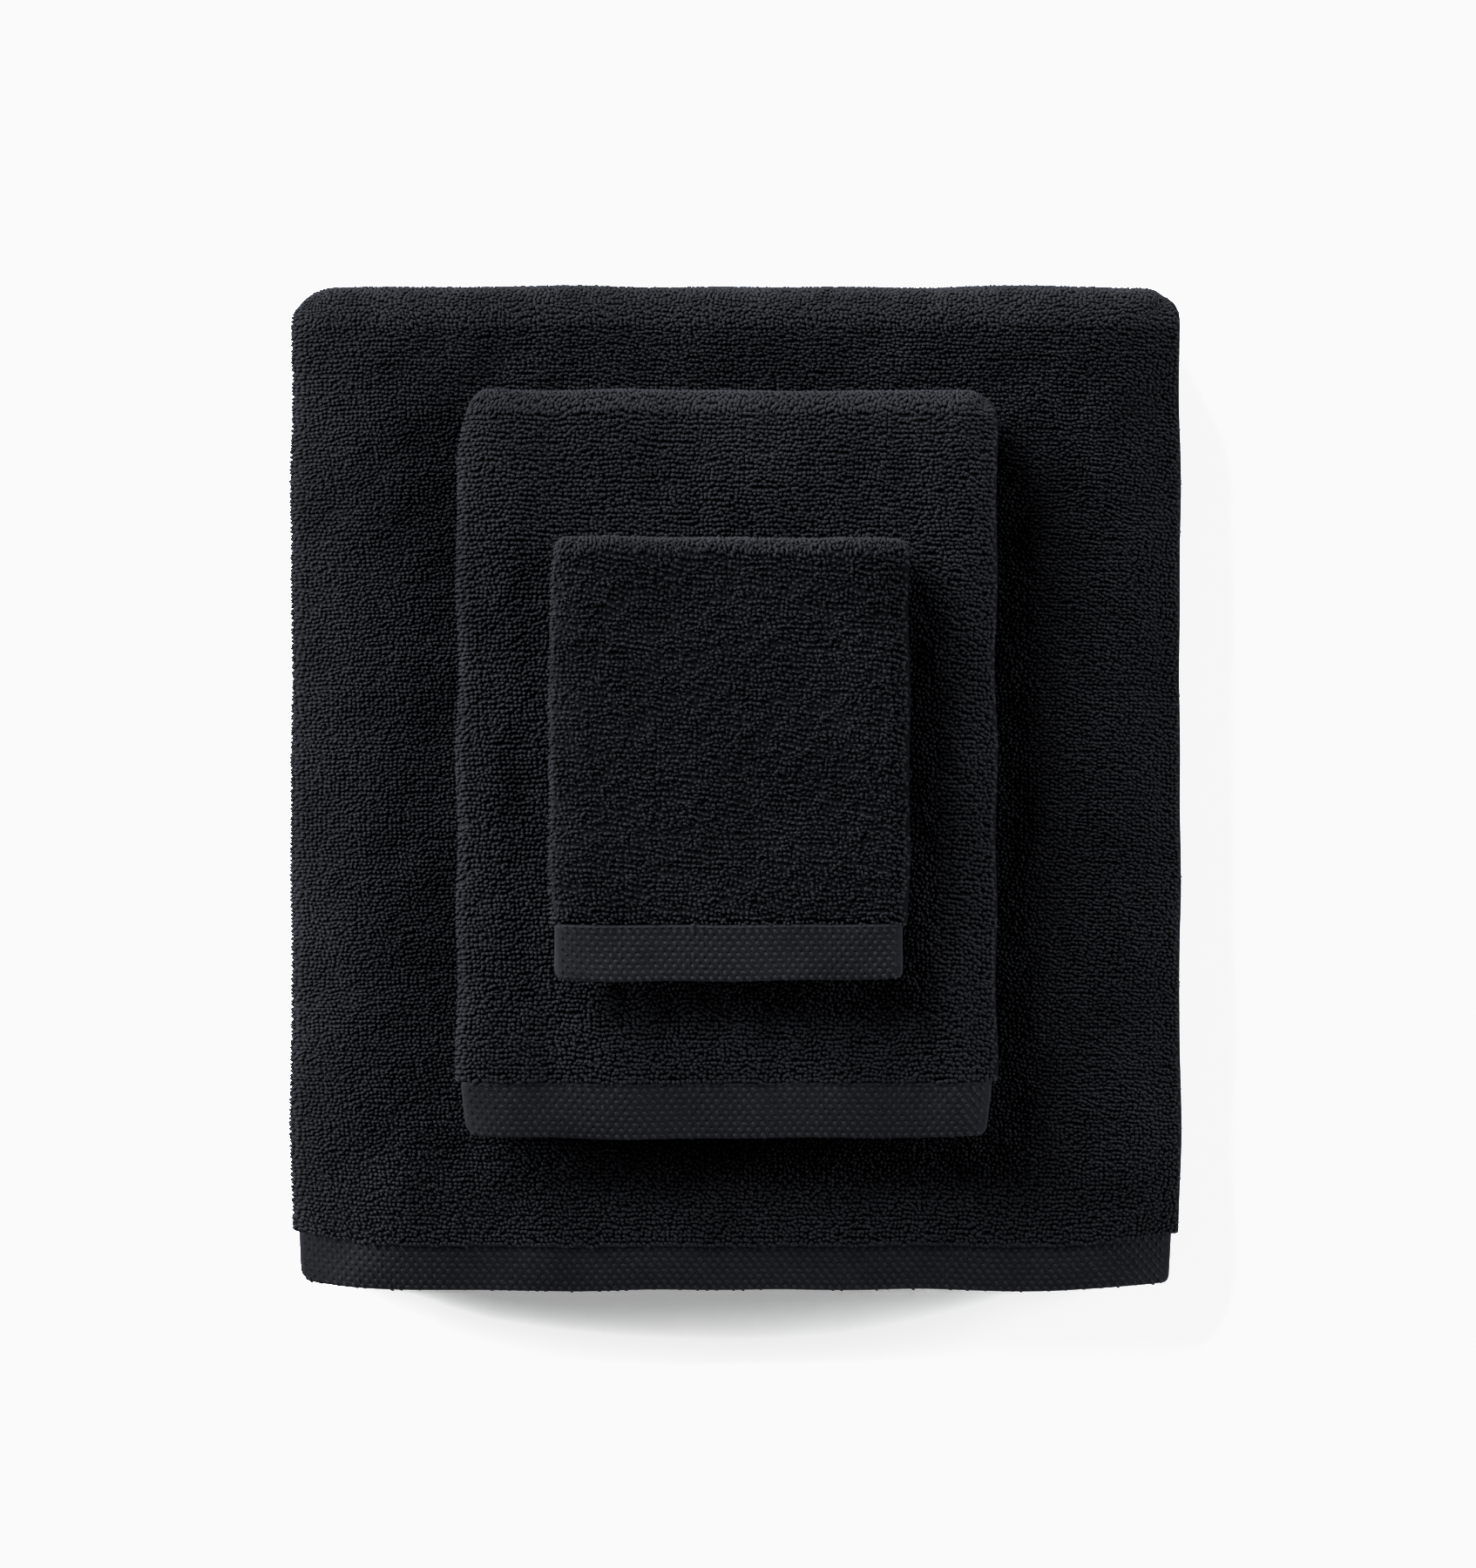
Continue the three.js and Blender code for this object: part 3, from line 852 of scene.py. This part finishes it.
def add_floats(towel, end, materials):
    """The raised floats of a border's weave, in staggered rows, which fade out towards its fold."""
    random = np.random.default_rng(towel.seed + 30)
    rows = np.arange(FLOAT["row"] / 2, towel.border - FLOAT["margin"], FLOAT["row"])
    columns = np.arange(FLOAT["column"], towel.band.flat, FLOAT["column"])
    along, across = np.meshgrid(rows, columns, indexing="ij")
    across = across + FLOAT["column"] / 2 * (np.arange(len(rows)) % 2)[:, None]
    along, across = along.ravel(), across.ravel()
    count = len(along)
    from_fold = np.clip((towel.band.flat - across) / FLOAT["fade"], 0, 1)
    shape = {
        "angle": np.radians(FLOAT["tilt"] + random.normal(0, FLOAT["tilt_spread"], count)),
        "length": FLOAT["length"] * random.uniform(0.85, 1.15, count),
        "radius": np.full(count, FLOAT["radius"]),
        "height": np.full(count, FLOAT["radius"]),
        "arch": np.full(count, FLOAT["height"] / 2),
        "bend": np.zeros(count),
        # the painted light of the floats' crowns, which fades towards the fold
        "light": random.uniform(0.5, 1.0, count) * (0.4 + 0.6 * from_fold),
    }
    sunk = 0.72 + 0.2 * (1 - from_fold)
    out = BORDER_PLY / 2 - FLOAT["height"] - FLOAT["radius"] * sunk
    return strands(f"{towel.name}_{end}_border_beads", border_place(towel, end), along, across, out, shape,
                   3, materials["float"], towel.extent, sides=6)


def add_hem_seam(towel, end, materials):
    """The stitches along the terry side of a border."""
    across = np.arange(STITCH["pitch"], towel.band.flat, STITCH["pitch"])
    along = -SEAM_INSET if end == "shown" else towel.length + SEAM_INSET
    return add_stitches(f"{towel.name}_{end}_seam", towel, towel.band, along + 0 * across, across,
                        BORDER_PLY / 2 - FLOAT["height"], 0, materials)


def add_label(towel, materials):
    """The blank care label, lying on the lowest leaf with one edge sewn into the side hem."""
    low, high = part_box(f"{towel.name}_care_label")
    start, _ = towel.stretch(2)
    along = steps(start + towel.back_y - high.y, start + towel.back_y - low.y, LABEL_STEP)
    across = steps(towel.cloth.width - (towel.right - low.x), towel.cloth.width - (towel.right - high.x),
                   LABEL_STEP)
    grid = np.meshgrid(along, across, indexing="ij")
    curl = LABEL_CURL * Ripple(towel.seed + 20, LABEL_CURL_LENGTH)(*grid)
    rest = towel.cloth.ply / 2 + LABEL_GAP + curl
    return plate(f"{towel.name}_label", towel.on(towel.cloth), along, across, rest + LABEL_HALF,
                 rest - LABEL_HALF, materials["label"])


# The towels ------------------------------------------------------------------------------------------


def add_selvedges(towel, materials):
    """The turned side hems of both plies, and their stitches."""
    pieces = []
    for side in ("outer", "inner"):
        hem = add_side_hem(towel, side, materials)
        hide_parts(*towel.nodes(f"{side}_side_hem"))
        seam = add_side_seam(towel, side, materials)
        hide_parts(*towel.nodes(f"{side}_side_thread"))
        pieces += [hem, seam]
    return pieces


def add_border(towel, end, body, materials):
    """A woven border with its stitches and its floats, all on one body."""
    band = add_band(towel, end, materials)
    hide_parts(f"{towel.name}_{end}_border")
    seam = add_hem_seam(towel, end, materials)
    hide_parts(f"{towel.name}_{end}_hem_thread")
    floats = add_floats(towel, end, materials)
    if end == "hidden":
        band.data.flip_normals()
        floats.data.flip_normals()
    return [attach(piece, body) for piece in (band, seam, floats)]


def add_towel(towel, materials, rests_on):
    """All the pieces of one towel: its terry and selvedges go through the towel's join(), its borders, label
    and fold pile on its bodies.
    """
    cloth = add_cloth(towel, materials)
    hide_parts(*towel.cloth_nodes)
    terry = [cloth, *add_pile(towel, materials)]
    selvedges = add_selvedges(towel, materials)
    for piece in terry + selvedges:
        towel.join(piece)
    opens = towel.body != towel.upper_body
    fold_pile = add_fold_pile(towel, materials) if opens else []
    borders = [
        *add_border(towel, "shown", towel.upper_body, materials),
        *add_border(towel, "hidden", towel.body, materials),
    ]
    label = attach(add_label(towel, materials), towel.body)
    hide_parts(f"{towel.name}_care_label")
    towel.flat_size()
    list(terry[1:])
    return cloth


# Camera, light and floor -----------------------------------------------------------------------------


def add_floor():
    """A pale floor that glows a little, as a lit table does, inside a pale backdrop."""
    size = FLOOR_SIZE
    mesh = bpy.data.meshes.new("floor")
    mesh.from_pydata([(-size, -size, 0), (size, -size, 0), (size, size, 0), (-size, size, 0)], [],
                     [(0, 1, 2, 3)])
    paper = Nodes("floor_paper")
    paper.set(Base_Color=(FLOOR_TONE, FLOOR_TONE, FLOOR_TONE, 1), Roughness=0.9, Specular_IOR_Level=0.1,
              Emission_Color=(1, 1, 1, 1), Emission_Strength=FLOOR_GLOW)
    mesh.materials.append(paper.material)
    floor = link("floor", mesh)

    shell = bmesh.new()
    bmesh.ops.create_uvsphere(shell, u_segments=32, v_segments=16, radius=0.95 * size)
    mesh = bpy.data.meshes.new("backdrop")
    shell.to_mesh(mesh)
    shell.free()
    glow = Nodes("backdrop_paper")
    glow.set(Base_Color=(0, 0, 0, 1), Emission_Color=(1, 1, 1, 1), Emission_Strength=BACKDROP_GLOW)
    mesh.materials.append(glow.material)
    backdrop = link("backdrop", mesh)
    for ray in ("diffuse", "glossy", "transmission", "volume_scatter", "shadow"):
        setattr(backdrop, f"visible_{ray}", False)


def add_camera():
    """Straight above the stack, with the front of the towels at the bottom of the picture."""
    data = bpy.data.cameras.new("camera")
    data.lens = data.sensor_width * CAMERA_HEIGHT / PICTURE_HEIGHT
    data.clip_end = 100
    camera = link("camera", data)
    camera.location = CAMERA_PLACE
    bpy.context.scene.camera = camera


def add_light():
    """A broad low softbox and a lower strip at the back left, weaker ones at the right and in front."""
    for name, (toward, strength, spread) in SUNS.items():
        data = bpy.data.lights.new(name, "SUN")
        data.energy = strength
        data.angle = math.radians(spread)
        lamp = link(name, data)
        lamp.rotation_mode = "QUATERNION"
        lamp.rotation_quaternion = Vector(toward).to_track_quat("Z", "Y")
    world = bpy.data.worlds.new("studio")
    world.use_nodes = True
    background = world.node_tree.nodes["Background"].inputs
    background["Color"].default_value = (1, 1, 1, 1)
    background["Strength"].default_value = FILL
    bpy.context.scene.world = world


def set_tones():
    """The picture's tone curve."""
    view = bpy.context.scene.view_settings
    view.view_transform = "Standard"
    view.use_curve_mapping = True
    view.curve_mapping.extend = "HORIZONTAL"
    points = view.curve_mapping.curves[3].points
    points[-1].location = (1.0, PAPER_WHITE)
    for level in TONE:
        points.new(*level).handle_type = "VECTOR"
    view.curve_mapping.update()


# The set ---------------------------------------------------------------------------------------------
#
# form, how a towel departs from a square stack: sags are (depth, reach) at each edge, corners are radii,
# slant is (shift, reach) of the left end of the back fold.
# pile, the loops of the terry: rows lie along the width, and the sizes are those of one loop.

BATH = Towel(
    "bath", bodies=("bath_towel", "bath_towel"), leaves=3, cloth_nodes=["bath_terry_cloth"],
    form={
        "setback": 4 * MM, "border_inset": 3.2 * MM, "lump_size": 75 * MM, "lump": 0.5 * MM,
        "sags": {"left": (13 * MM, 58 * MM), "right": (8 * MM, 40 * MM),
                 "front": (7.5 * MM, 75 * MM), "back": (3.6 * MM, 36 * MM)},
        "corners": {"back_left": 18 * MM, "back_right": 16 * MM, "front_left": 5.5 * MM,
                    "front_right": 3.2 * MM},
        "slant": (0, 1), "overhang": 4.5 * MM, "wider": 2.3 * MM, "longer": 1.6 * MM,
        "waist": 1 * MM, "bow": 2.6 * MM, "wander": 0.25 * MM, "lower_inset": 5.5 * MM,
        "end_drop": 2.5 * MM, "drop_reach": 34 * MM, "hidden_drop": 0,
        "shown_outside": [0, 1, 3], "shown_inside": [],
    },
    pile={
        "row": 1.68 * MM, "column": 1.85 * MM, "length": 2.8 * MM, "radius": 0.88 * MM,
        "fullness": 0.8, "arch": 0.45 * MM, "rings": 2, "unevenness": 0.25 * MM,
        "tilt": 12, "tilt_spread": 11, "wander": 0.22 * MM, "wander_size": 9 * MM,
    },
    seed=100,
)
HAND = Towel(
    "hand", bodies=("hand_towel", "hand_towel"), leaves=2, cloth_nodes=["hand_terry_cloth"],
    form={
        "setback": 4 * MM, "border_inset": 2.5 * MM, "lump_size": 60 * MM, "lump": 0.4 * MM,
        "sags": {"left": (4.5 * MM, 24 * MM), "right": (4 * MM, 20 * MM),
                 "front": (4 * MM, 75 * MM), "back": (5.5 * MM, 72 * MM)},
        "corners": {"back_left": 6 * MM, "back_right": 13 * MM, "front_left": 5 * MM,
                    "front_right": 3.5 * MM},
        "slant": (8 * MM, 36 * MM), "overhang": 0, "wider": 1 * MM, "longer": 1.5 * MM,
        "waist": 1.5 * MM, "bow": 1.5 * MM, "wander": 0.35 * MM, "lower_inset": 3 * MM,
        "end_drop": 2 * MM, "drop_reach": 40 * MM, "hidden_drop": 1.6 * MM,
        "shown_outside": [0, 1], "shown_inside": [],
    },
    pile={
        "row": 1.86 * MM, "column": 1.85 * MM, "length": 2.9 * MM, "radius": 1.02 * MM,
        "fullness": 0.65, "arch": 0.4 * MM, "rings": 2, "unevenness": 0.15 * MM,
        "tilt": 14, "tilt_spread": 15, "wander": 0.28 * MM, "wander_size": 10 * MM,
    },
    seed=200,
)
WASHCLOTH = Washcloth(
    "washcloth", bodies=("washcloth_lower", "washcloth_upper"), leaves=2,
    cloth_nodes=["washcloth_flap", "washcloth_fold", "washcloth_under_leaf"],
    form={
        "setback": 4 * MM, "border_inset": 2 * MM, "lump_size": 50 * MM, "lump": 0.3 * MM,
        "sags": {"left": (2.5 * MM, 18 * MM), "right": (2 * MM, 12 * MM),
                 "front": (0.6 * MM, 30 * MM), "back": (-1.6 * MM, 13 * MM)},
        "corners": {"back_left": 5 * MM, "back_right": 6 * MM, "front_left": 4 * MM,
                    "front_right": 3 * MM},
        "slant": (4 * MM, 24 * MM), "overhang": 0, "wider": 0, "longer": 1.4 * MM,
        "waist": 1.2 * MM, "bow": 1.0 * MM, "wander": 0.3 * MM, "lower_inset": 2 * MM,
        "end_drop": 0, "drop_reach": 40 * MM, "hidden_drop": 0,
        "shown_outside": [0, 1, 2], "shown_inside": [0, 2],
    },
    pile={
        "row": 2.0 * MM, "column": 1.9 * MM, "length": 2.7 * MM, "radius": 0.92 * MM,
        "fullness": 0.9, "arch": 0.6 * MM, "rings": 3, "unevenness": 0.45 * MM,
        "tilt": 24, "tilt_spread": 26, "wander": 0.55 * MM, "wander_size": 11 * MM,
    },
    seed=300,
)

add_camera()
add_floor()
add_light()
set_tones()
materials = {piece: cotton(**look) for piece, look in COTTON.items()}
below = "floor"
for towel in (BATH, HAND, WASHCLOTH):
    below = add_towel(towel, materials, below).name
